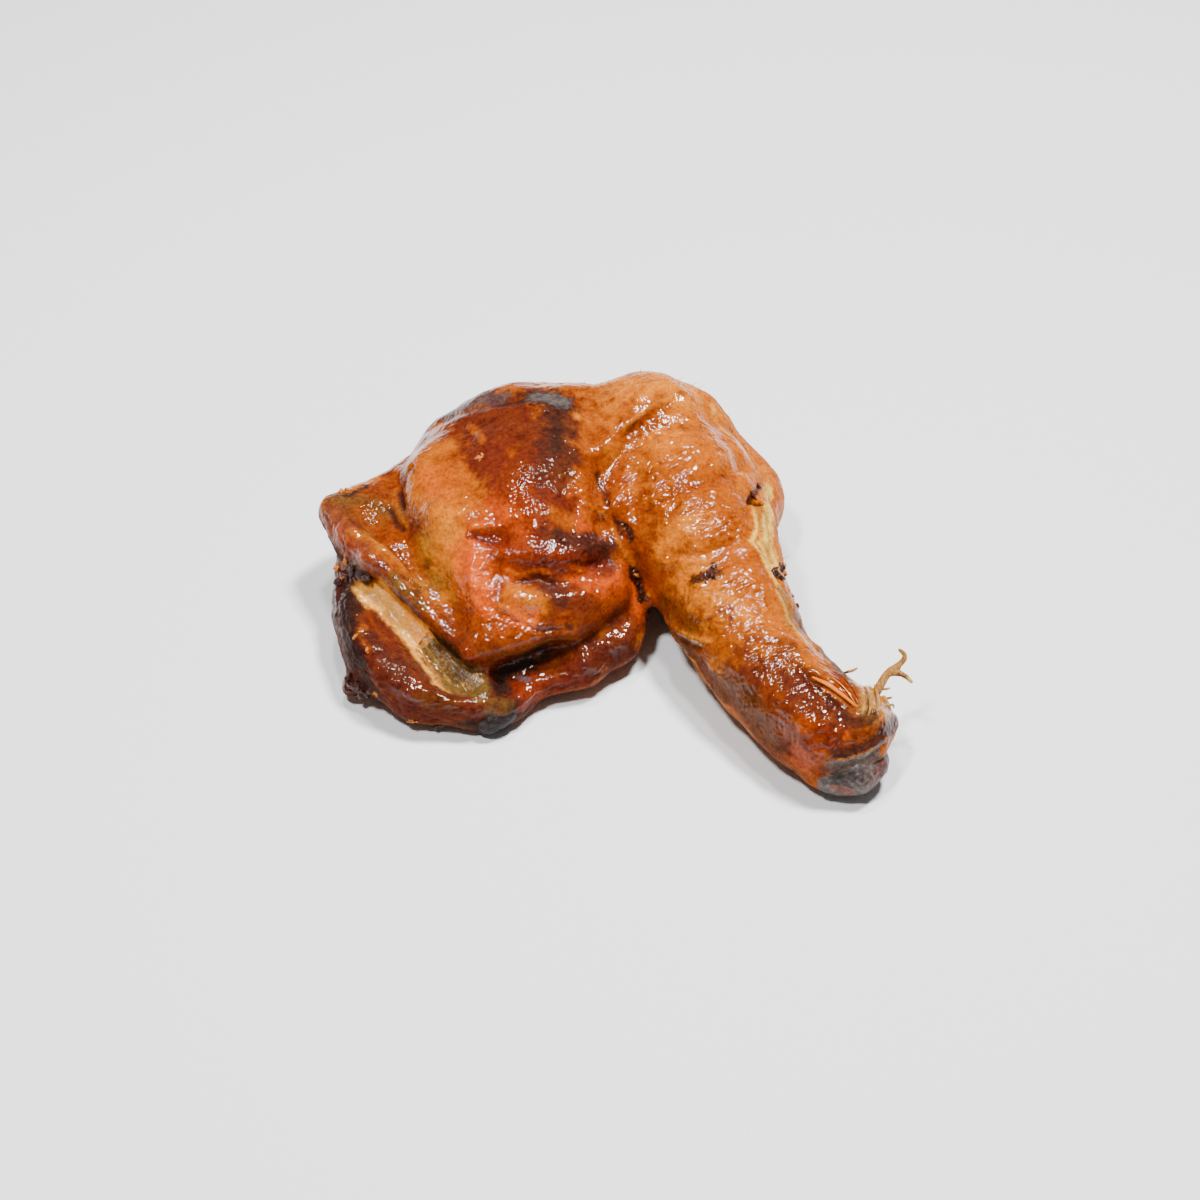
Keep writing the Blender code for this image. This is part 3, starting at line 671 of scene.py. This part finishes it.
def paint_skin(obj, skin, points, facing, rise):
    """Lays the washes and stains of colour on the skin, with painted shade in its grooves and
    painted light on its crests, and how glossy and mottled it is.
    """
    tint = colours()
    sizes = ((7, 0.5), (2.6, 0.45), (1.1, 0.25))
    wander = sum(ripple(points, size * MM, 3.1 * i) * part
                 for i, (size, part) in enumerate(sizes))
    colour = lay_marks(tint["gold"], points, WASHES, skin, 0.9, wander)
    low = ease((-facing[:, 2] - 0.15) / 0.5)[:, None] * 0.8
    colour = colour * (1 - low) + tint["under"] * low
    colour = lay_marks(colour, points, STRIP_STAINS + STAINS_SHADE_AND_SHEEN, skin, 0.7, fine_wander(points))
    # painted shade in the grooves and painted light on the crests of the relief
    depth = np.clip(-rise / (0.5 * MM), -0.8, 1.2)[:, None]
    colour = colour * (1 - depth * np.array(GROOVE_SHADE))
    paint_colour(obj, colour)
    dark = 1 - np.clip(colour[:, 0] / 0.4, 0, 1)
    side = ease((0.55 - facing[:, 2]) / 0.6)
    wet = 0.95 - 0.25 * dark - 0.8 * side
    for reach, less, path in MATTE:
        inside = uneven(distance_to(points, skin.path(path)), reach * MM, 0.8, wander)
        wet = wet * (1 - less * inside)
    paint(obj, "wet", np.clip(wet, 0, 1))
    paint(obj, "mottle", np.clip(0.72 + 0.4 * dark, 0, 1))


def shape_skin(obj, skin, points, facing, sizes):
    """Presses the folds, wrinkles, goose bumps and meat grain into the skin."""
    rise = np.zeros(len(points))
    folds = [(*fold, path) for _, _, _, path, *fold in STAINS_SHADE_AND_SHEEN if fold]
    for reach, height, path in RELIEF + folds:
        gap = distance_to(points, skin.path(path))
        rise += height * MM * np.exp(-(gap / (reach * MM)) ** 2)
    amount = {kind: np.zeros(len(points)) for kind in ("pucker", "pimple", "grain")}
    for kind, reach, depth, path in TEXTURES:
        gap = distance_to(points, skin.path(path))
        inside = ease((reach * MM * 1.4 - gap) / (reach * MM * 0.9))
        amount[kind] = np.maximum(amount[kind], depth * inside)
    top, end = (Vector(p) for p in DRUM_LINE)
    along = np.array((end - top).normalized())
    swirl = np.stack([ripple(points, 3.2 * MM, s) for s in (0.3, 5.3, 9.3)], axis=1)
    bent = points + swirl * 1.1 * MM
    run = (bent @ along)[:, None] * along
    squeezed = (bent - run) / 2.6 + run / 1.25
    pucker = crease(squeezed, 1.2 * MM, 2.0) + 0.45 * crease(squeezed, 0.7 * MM, 7.0)
    rise += np.maximum(amount["pucker"], 0.18) * sizes.pucker * pucker
    bumps = ripple(points, 1.1 * MM, 6.0) + 0.5 * ripple(points, 0.65 * MM, 3.0)
    rise += np.maximum(amount["pimple"], 0.25) * sizes.pimple * bumps
    streaks = (points + swirl * 0.5 * MM) * np.array((0.3, 0.3, 1.0))
    rise += amount["grain"] * sizes.grain * ripple(streaks, 0.9 * MM, 8.0) * 1.5
    rise += (0.38 * ripple(points, 6.5 * MM, 1.0) + 0.22 * ripple(points, 3.1 * MM, 2.0)) * MM
    rise *= ease((facing[:, 2] + 0.75) / 0.5)
    move_points(obj, above_floor(points + facing * rise[:, None]))
    paint(obj, "lie", squeezed, "FLOAT_VECTOR", "vector")
    paint(obj, "pucker", amount["pucker"])
    return rise


class Look:
    """A node material, and short ways to add nodes to it."""

    def __init__(self, name):
        self.material = bpy.data.materials.new(name)
        self.material.use_nodes = True
        self.nodes = self.material.node_tree.nodes
        self.link = self.material.node_tree.links.new
        self.nodes.clear()
        self.shader = self.nodes.new("ShaderNodeBsdfPrincipled")
        out = self.nodes.new("ShaderNodeOutputMaterial")
        self.link(self.shader.outputs["BSDF"], out.inputs["Surface"])

    def fill(self, node, sockets):
        """Sets or links inputs of a node."""
        for name, value in sockets.items():
            if isinstance(value, bpy.types.NodeSocket):
                self.link(value, node.inputs[name])
            else:
                node.inputs[name].default_value = value

    def add(self, kind, output, sockets, **settings):
        """One output of a new node with these inputs and settings."""
        made = self.nodes.new("ShaderNode" + kind)
        for name, value in settings.items():
            setattr(made, name, value)
        self.fill(made, sockets)
        return made.outputs[output]

    def painted(self, name, output="Fac"):
        return self.add("Attribute", output, {}, attribute_name=name)

    def clouds(self, scale, detail=3.0, rough=0.55, warp=0.0, lie=None):
        """Noise on Object coordinates or on a painted vector, scale in bumps per metre."""
        place = self.painted(lie, "Vector") if lie else self.add("TexCoord", "Object", {})
        return self.add("TexNoise", "Fac", {
            "Scale": scale, "Detail": detail, "Roughness": rough, "Distortion": warp,
            "Vector": place})

    def sums(self, kind, first, second):
        return self.add("Math", 0, {0: first, 1: second}, operation=kind)

    def spread(self, value, low, high, to_low, to_high):
        return self.add("MapRange", "Result", {
            "Value": value, "From Min": low, "From Max": high, "To Min": to_low,
            "To Max": to_high})

    def tinted(self, shade, amount, tint):
        """The colour multiplied by a tint, by an amount from 0 to 1."""
        return self.add("Mix", "Result", {"Factor": amount, "A": shade, "B": tint},
                        data_type="RGBA", blend_type="MULTIPLY", clamp_factor=True)

    def bumps(self, layers):
        """Stacks bumps, the finest first: height socket and depth in metres for each."""
        last = {}
        for i, (height, depth) in reversed(list(enumerate(layers))):
            last["Normal"] = self.add("Bump", "Normal", {
                "Strength": 1.0, "Distance": depth, "Height": height, **last})
            if i == min(1, len(layers) - 1):
                self.fill(self.shader, {"Coat Normal": last["Normal"]})
        self.fill(self.shader, last)


def skin_material():
    """Glossy roasted skin whose painted colour is mottled by fine browning."""
    look = Look("roasted_skin")
    broad = look.clouds(330, 4, 0.6, 0.6)
    fine = look.clouds(1100, 3, 0.6, 0.3)
    speck = look.clouds(2100, 2, 0.5)
    mixed = look.sums("ADD", look.sums("MULTIPLY", broad, 0.5), look.sums("MULTIPLY", fine, 0.5))
    mottle = look.painted("mottle")
    shade = look.painted("roast", "Color")
    for full, tint in ((0.36, PALE_TINT), (0.66, DEEP_TINT)):
        amount = look.sums("MULTIPLY", look.spread(mixed, 0.50, full, 0, 1), mottle)
        shade = look.tinted(shade, amount, tint)
    wet = look.painted("wet")
    look.fill(look.shader, {
        "Base Color": look.tinted(shade, look.spread(speck, 0.58, 0.72, 0.0, 0.75), SPECK_TINT),
        "Roughness": look.sums("ADD", look.spread(wet, 0, 1, 0.60, 0.34),
                               look.spread(fine, 0.3, 0.7, -0.06, 0.10)),
        "IOR": 1.4,
        "Specular IOR Level": 0.15,
        "Specular Tint": (1.0, 0.30, 0.04, 1),
        "Subsurface Weight": 0.10,
        "Subsurface Radius": (1.0, 0.42, 0.18),
        "Subsurface Scale": 0.0010,
        "Coat Weight": look.spread(wet, 0, 1, 0.0, 0.9),
        "Coat Roughness": 0.04,
        "Coat IOR": 1.45,
    })
    crinkle = look.sums("MULTIPLY", look.clouds(1300, 0, 0.5, 0.4, "lie"), look.painted("pucker"))
    look.bumps([(speck, 0.00003), (crinkle, 0.00036), (look.clouds(950, 0), 0.00022)])
    return look.material


def painted_material(name, scale, roughness, depth, coat):
    """A painted finish with some mottling and bumps, for the small pieces."""
    look = Look(name)
    tone = look.clouds(scale, 4, 0.6, 0.3)
    look.fill(look.shader, {
        "Base Color": look.add("Gamma", "Color", {
            "Color": look.painted("roast", "Color"),
            "Gamma": look.spread(tone, 0.35, 0.65, 0.75, 1.3)}),
        "Roughness": look.spread(tone, 0.3, 0.7, roughness + 0.1, roughness - 0.05),
        "IOR": 1.4,
        "Specular IOR Level": 0.3,
        "Subsurface Weight": 0.08,
        "Subsurface Radius": (1.0, 0.5, 0.25),
        "Subsurface Scale": 0.001,
        "Coat Weight": coat,
        "Coat Roughness": 0.10,
    })
    look.bumps([(tone, depth)])
    return look.material


def put_on(obj, material):
    obj.data.materials.clear()
    obj.data.materials.append(material)


def strand(bm, places, radii, sides):
    """A closed tapering tube along places."""
    places = [Vector(p) for p in places]
    last = None
    for i, (place, radius) in enumerate(zip(places, radii)):
        way = (places[min(i + 1, len(places) - 1)] - places[max(i - 1, 0)]).normalized()
        turn = way.to_track_quat("Z", "Y").to_matrix().to_4x4()
        ring = bmesh.ops.create_circle(
            bm, segments=sides, radius=radius, cap_ends=i in (0, len(places) - 1),
            matrix=Matrix.Translation(place) @ turn)["verts"]
        edges = list({e for v in ring for e in v.link_edges})
        if last:
            bmesh.ops.bridge_loops(bm, edges=last + edges)
        last = edges
    bmesh.ops.recalc_face_normals(bm, faces=bm.faces)


def rounded_path(places, steps):
    """More places on a rounded line through the given ones."""
    places = [np.array(p, float) for p in places]
    padded = [2 * places[0] - places[1], *places, 2 * places[-1] - places[-2]]
    line = []
    for a, b, c, d in zip(padded, padded[1:], padded[2:], padded[3:]):
        for t in np.linspace(0, 1, steps, endpoint=False):
            line.append(0.5 * (2 * b + (c - a) * t + (2 * a - 5 * b + 4 * c - d) * t * t
                               + (3 * b - a - 3 * c + d) * t ** 3))
    line.append(places[-1])
    return line


def crumb(bm, place, facing, length, width, thick, spin, seed, rough):
    """A lumpy crumb or flake pressed onto the skin."""
    turn = Vector(facing).to_track_quat("Z", "Y").to_matrix().to_4x4()
    made = bmesh.ops.create_icosphere(bm, subdivisions=3, radius=1)["verts"]
    for v in made:
        v.co *= 1 + rough * noise.noise(v.co * 1.3 + Vector((seed, 0, 0)))
        v.co *= 1 + rough * 0.5 * noise.noise(v.co * 3.0 + Vector((0, seed, 0)))
    shape = Matrix.Diagonal((length, width, thick, 1))
    spun = Matrix.Rotation(spin, 4, "Z")
    bmesh.ops.transform(bm, matrix=Matrix.Translation(place) @ turn @ spun @ shape, verts=made)


# the bare skin, which the flesh operator leaves here for the others
SHARED = {}


class ROAST_OT_flesh(bpy.types.Operator):
    """Dress the leg in wrinkled, browned skin"""
    bl_idname = "roast_leg.flesh"
    bl_label = "Roasted flesh and skin"

    def execute(self, context):
        sizes = context.scene.roast_sizes
        obj = node_copy("leg", "roasted_flesh", sizes.skin_mesh, 6,
                        seated=("hip_strip", "joint_end"))
        thin_below(obj, MOST_TRIANGLES)
        others = [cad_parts[n].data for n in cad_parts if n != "leg"]
        skin = SHARED["skin"] = Skin([obj.data, *others])
        points, facing = read(obj, "co"), read(obj, "normal")
        rise = shape_skin(obj, skin, points, facing, sizes)
        paint_skin(obj, skin, points, facing, rise)
        put_on(obj, skin_material())
        settle(obj, "leg")
        return {"FINISHED"}


def dress(node, name, base, marks, material, voxel, rounds, swell, rough=0.0, size=1.0):
    """A painted, roughened copy of a small node."""
    obj = node_copy(node, name, voxel, rounds, swell)
    points = read(obj, "co")
    if rough:
        bump = ripple(points, size * MM, 2.5) + 0.5 * ripple(points, 0.5 * size * MM, 7.5)
        points = points + read(obj, "normal") * (rough * bump)[:, None]
    points = above_floor(points)
    move_points(obj, points)
    colour = colours()[base]
    paint_colour(obj, lay_marks(colour, points, marks, SHARED["skin"], 0.8, fine_wander(points)))
    put_on(obj, material)
    settle(obj, node)


class ROAST_OT_hip_strip(bpy.types.Operator):
    """Dress the bare pale strip along the cut end"""
    bl_idname = "roast_leg.hip_strip"
    bl_label = "Bare pale strip"

    def execute(self, context):
        dress("hip_strip", "bare_pale_strip", "bare", STRIP_STAINS,
              painted_material("pale_fibrous_strip", 1200, 0.34, 0.0003, 0.45),
              0.0003, 3, 0.0006, 0.00012, 1.6)
        return {"FINISHED"}


class ROAST_OT_shank_tendon(bpy.types.Operator):
    """Dress the orange tendon in the split skin"""
    bl_idname = "roast_leg.shank_tendon"
    bl_label = "Orange tendon"

    def execute(self, context):
        dress("shank_tendon", "orange_tendon", "tendon", [],
              painted_material("orange_tendon", 1500, 0.45, 0.0001, 0.1),
              0.0002, 3, -0.0004)
        return {"FINISHED"}


class ROAST_OT_joint_end(bpy.types.Operator):
    """Dress the dark grey bone end"""
    bl_idname = "roast_leg.joint_end"
    bl_label = "Dark bone end"

    def execute(self, context):
        dress("joint_end", "dried_bone_end", "bone", BONE_STAINS,
              painted_material("dried_bone", 700, 0.5, 0.0004, 0.2),
              0.0003, 2, 0.0009, 0.0004, 2.4)
        return {"FINISHED"}


class ROAST_OT_torn_strands(bpy.types.Operator):
    """Dress the dry strands at the knuckle"""
    bl_idname = "roast_leg.torn_strands"
    bl_label = "Torn dry strands"

    def execute(self, context):
        dress("torn_strands", "torn_dry_strands", "fibre", STRAND_STAINS,
              painted_material("dry_strand", 1200, 0.5, 0.0002, 0.1),
              0.0002, 2, 0.0)
        return {"FINISHED"}


# burnt scabs and flakes: picture point, half length, half width, half height in mm, turn
BURNT = [
    (622, 525, 0.6, 0.3, 0.2, 0.2), (629, 531, 0.7, 0.4, 0.3, 1.5),
    (631, 537, 0.5, 0.4, 0.3, 0.9),
    (696, 581, 1.2, 0.8, 0.35, 0.5), (703, 577, 1.9, 1.1, 0.45, 0.3),
    (710, 574, 1.6, 1.0, 0.5, 0.1), (713, 568, 1.3, 0.7, 0.4, 1.5),
    (717, 575, 1.3, 0.7, 0.35, 2.8),
    (759, 486, 0.8, 0.45, 0.3, 0.9), (753, 495, 1.1, 0.5, 0.3, 1.0),
    (634, 572, 0.7, 0.4, 0.3, 0.7), (638, 583, 0.6, 0.4, 0.3, 1.0),
    (642, 592, 0.8, 0.6, 0.4, 0.2), (640, 600, 0.7, 0.5, 0.4, 2.0),
    (774, 571, 1.3, 0.9, 0.8, 0.2), (781, 569, 1.5, 0.9, 0.9, 0.8),
    (780, 577, 1.2, 0.8, 0.7, 1.9), (798, 606, 1.1, 0.8, 0.6, 0.9),
    (792, 596, 0.6, 0.5, 0.5, 0.0), (439, 728, 1.5, 1.1, 1.0, 0.0),
    (365, 577, 1.6, 1.1, 0.8, 0.7), (352, 571, 1.8, 1.2, 1.0, 2.1),
    (344, 576, 2.0, 1.3, 1.1, 0.4), (338, 583, 1.6, 1.2, 1.1, 1.2),
    (354, 686, 1.8, 1.1, 0.9, 0.3), (362, 694, 1.6, 1.1, 0.9, 1.4),
    (349, 679, 1.2, 0.9, 0.9, 2.2), (370, 691, 1.2, 0.8, 0.8, 0.8),
]

# golden crumbs and blisters, laid in the same way
GOLDEN = [
    (479, 459, 1.1, 0.7, 0.6, 0.9), (482, 455, 0.6, 0.4, 0.5, 0.2),
    (341, 489, 1.3, 0.7, 0.6, 0.3), (346, 488, 0.8, 0.6, 0.5, 1.2),
    (358, 616, 0.5, 0.7, 0.35, 0.3), (355, 637, 0.5, 0.8, 0.35, 0.2),
    (367, 650, 0.5, 0.8, 0.35, 0.5), (412, 721, 1.3, 0.6, 0.5, 0.4),
    (337, 567, 1.2, 0.9, 0.8, 0.8), (344, 577, 1.0, 0.7, 0.7, 0.1),
    (346, 562, 1.0, 0.6, 0.6, 2.0), (787, 565, 0.9, 0.6, 0.7, 0.5),
    (788, 573, 0.8, 0.6, 0.6, 1.5), (636, 575, 0.9, 0.4, 0.4, 2.5),
]

# the lump that hangs under the cut end: place and half sizes in mm, turn
LOBE = ((-29.5, -36.0, 4.6), (6.6, 4.4, 4.6), 0.3)


class ROAST_OT_lobes(bpy.types.Operator):
    """Hang the dark lobe under the cut end"""
    bl_idname = "roast_leg.lobes"
    bl_label = "Dark lobe"

    def execute(self, context):
        place, half, spin = LOBE
        bm = bmesh.new()
        crumb(bm, Vector(place) * MM, (0, 0, 1), *(side * MM for side in half), spin, 0.0, 0.25)
        obj = linked("dark_lobe", bm)
        remesh(obj, 0.0006)
        bake(obj)
        points = read(obj, "co")
        bump = ripple(points, 2.0 * MM, 4.4) + 0.5 * ripple(points, 0.9 * MM, 1.4)
        points += read(obj, "normal") * (bump * 0.25 * MM)[:, None]
        move_points(obj, above_floor(points))
        paint_colour(obj, colours()["char"])
        put_on(obj, painted_material("dark_lobe", 600, 0.6, 0.0005, 0.05))
        settle(obj, None)
        return {"FINISHED"}


class ROAST_OT_bits(bpy.types.Operator):
    """Lay the burnt scabs and the golden crumbs"""
    bl_idname = "roast_leg.bits"
    bl_label = "Burnt scabs and crumbs"

    def execute(self, context):
        skin = SHARED["skin"]
        tint = colours()
        for name, bits, finish, coat in (("burnt_scabs", BURNT, "scab", 0.3),
                                         ("golden_crumbs", GOLDEN, "fascia", 0.4)):
            bm = bmesh.new()
            for i, (x, y, length, width, thick, spin) in enumerate(bits):
                place, facing = skin.spot(x, y)
                crumb(bm, place, facing, length * MM, width * MM, thick * MM, spin, 3.7 * i, 0.9)
            obj = linked(name, bm)
            paint_colour(obj, tint[finish])
            put_on(obj, painted_material(name, 1400, 0.4, 0.0002, coat))
            settle(obj, None)
        return {"FINISHED"}


# thin tissue loops and frayed ends: finish, thickness in mm, points of the picture with height
LOOPS = [
    ("tendon", 0.18, [(826, 674, 0.0), (834, 680, 0.3), (843, 688, 0.4), (850, 696, 0.3),
                      (855, 703, 0.0)]),
    ("rust", 0.16, [(828, 670, 0.0), (839, 675, 0.3), (848, 684, 0.4), (856, 695, 0.3),
                    (858, 703, 0.0)]),
    ("fibre", 0.40, [(845, 671, -0.3), (851, 667, 0.8), (857, 665, 1.8), (862, 663, 3.0)]),
    ("fibre", 0.35, [(880, 690, -0.3), (886, 689, 0.8), (890, 688, 1.6)]),
    ("fibre", 0.35, [(882, 698, -0.3), (889, 698, 0.8), (894, 697, 1.4)]),
    ("fibre", 0.35, [(883, 706, -0.3), (890, 706, 0.7), (893, 708, 1.2)]),
    ("fibre", 0.45, [(866, 684, 0.2), (868, 695, 0.5), (870, 708, 0.4), (868, 716, 0.0)]),
    ("fibre", 0.45, [(873, 684, 0.2), (876, 695, 0.6), (877, 706, 0.5), (876, 714, 0.0)]),
]

# fine hairs: picture point, and how far the tip stands off sideways, up and out, in mm
HAIRS = [
    (585, 379, 0.6, 1.4), (596, 377, -0.4, 1.1), (640, 372, 0.5, 1.2), (681, 375, 1.4, 1.5),
    (693, 381, 2.2, 1.2), (699, 385, 1.8, 0.8), (776, 526, 1.4, 0.3), (786, 558, 1.6, 1.0),
    (352, 486, -0.8, 1.0), (395, 466, -0.6, 0.8),
]


class ROAST_OT_tissue(bpy.types.Operator):
    """Lay the thin tissue loops, the frayed ends and the hairs"""
    bl_idname = "roast_leg.tissue"
    bl_label = "Tissue loops and hairs"

    def execute(self, context):
        skin = SHARED["skin"]
        tint = colours()
        bm = bmesh.new()
        tones = []
        for finish, thick, points in LOOPS:
            places = []
            for x, y, height in points:
                place, facing = skin.spot(x, y)
                places.append(place + facing * height * MM)
            line = rounded_path(places, 6)
            radii = [thick * MM * (0.25 + 0.75 * math.sin(math.pi * (0.12 + 0.8 * i / len(line))))
                     for i in range(len(line))]
            strand(bm, line, radii, 8)
            tones += [tint[finish]] * (len(bm.verts) - len(tones))
        obj = linked("tissue_loops", bm)
        paint_colour(obj, np.array(tones))
        put_on(obj, painted_material("tissue", 1400, 0.4, 0.0001, 0.4))
        settle(obj, None)
        draw = random.Random(context.scene.roast_sizes.seed)
        bm = bmesh.new()
        for x, y, side, up in HAIRS:
            place, facing = skin.spot(x, y)
            tip = place + Vector((side, draw.uniform(-0.3, 0.3), up)) * MM
            middle = (place + tip) / 2 + facing * 0.3 * MM
            line = rounded_path([place - facing * 0.2 * MM, middle, tip], 4)
            strand(bm, line, np.linspace(0.07, 0.025, len(line)) * MM, 5)
        obj = linked("skin_hairs", bm)
        paint_colour(obj, tint["brown"])
        put_on(obj, painted_material("hair", 1400, 0.5, 0.00002, 0.0))
        settle(obj, None)
        return {"FINISHED"}


class ROAST_OT_stage(bpy.types.Operator):
    """Floor, light and camera"""
    bl_idname = "roast_leg.stage"
    bl_label = "Floor, light and camera"

    def execute(self, context):
        bm = bmesh.new()
        bmesh.ops.create_grid(bm, x_segments=1, y_segments=1, size=FLOOR_HALF)
        floor = linked("pale_floor", bm)
        look = Look("pale_floor")
        look.fill(look.shader, {"Base Color": FLOOR_COLOUR, "Roughness": 0.6})
        put_on(floor, look.material)
        world = bpy.data.worlds.new("pale_room")
        context.scene.world = world
        world.use_nodes = True
        room = world.node_tree.nodes["Background"]
        room.inputs["Color"].default_value = (1.0, 1.0, 1.0, 1)
        room.inputs["Strength"].default_value = ROOM_LIGHT
        for name, at, side, power in LAMPS:
            data = bpy.data.lights.new(name, "AREA")
            data.shape = "RECTANGLE"
            data.size = data.size_y = side
            data.energy = power
            lamp = bpy.data.objects.new(name, data)
            context.scene.collection.objects.link(lamp)
            lamp.location = at
            aim = LAMPS_AIM - Vector(at)
            lamp.rotation_euler = aim.to_track_quat("-Z", "Y").to_euler()
        data = bpy.data.cameras.new("camera")
        data.sensor_width = SENSOR_MM
        data.sensor_fit = "HORIZONTAL"
        data.lens = FOCAL_PIXELS / PICTURE_SIDE * SENSOR_MM
        camera = bpy.data.objects.new("camera", data)
        context.scene.collection.objects.link(camera)
        camera.location = CAMERA_AT
        camera.rotation_euler = (math.pi / 2 - CAMERA_DOWN, 0, 0)
        context.scene.camera = camera
        return {"FINISHED"}


PIECES = (
    ROAST_OT_flesh,
    ROAST_OT_hip_strip,
    ROAST_OT_shank_tendon,
    ROAST_OT_joint_end,
    ROAST_OT_torn_strands,
    ROAST_OT_lobes,
    ROAST_OT_bits,
    ROAST_OT_tissue,
    ROAST_OT_stage,
)


class ROAST_PT_panel(bpy.types.Panel):
    """Lists the pieces, sizes and colours"""
    bl_idname = "ROAST_PT_panel"
    bl_label = "Roast leg"
    bl_space_type = "VIEW_3D"
    bl_region_type = "UI"
    bl_category = "Roast leg"

    def draw(self, context):
        for group in (context.scene.roast_sizes, context.scene.roast_colours):
            for name in group.bl_rna.properties.keys():
                if name not in ("rna_type", "name"):
                    self.layout.prop(group, name)
        for piece in PIECES:
            self.layout.operator(piece.bl_idname)


CLASSES = (RoastSizes, RoastColours, *PIECES, ROAST_PT_panel)


def register():
    for made in CLASSES:
        bpy.utils.register_class(made)
    bpy.types.Scene.roast_sizes = PointerProperty(type=RoastSizes)
    bpy.types.Scene.roast_colours = PointerProperty(type=RoastColours)


def unregister():
    del bpy.types.Scene.roast_colours
    del bpy.types.Scene.roast_sizes
    for made in reversed(CLASSES):
        bpy.utils.unregister_class(made)


def main():
    register()
    bpy.ops.roast_leg.flesh()
    bpy.ops.roast_leg.hip_strip()
    bpy.ops.roast_leg.shank_tendon()
    bpy.ops.roast_leg.joint_end()
    bpy.ops.roast_leg.torn_strands()
    bpy.ops.roast_leg.lobes()
    bpy.ops.roast_leg.bits()
    bpy.ops.roast_leg.tissue()
    bpy.ops.roast_leg.stage()


if __name__ == "__main__":
    main()
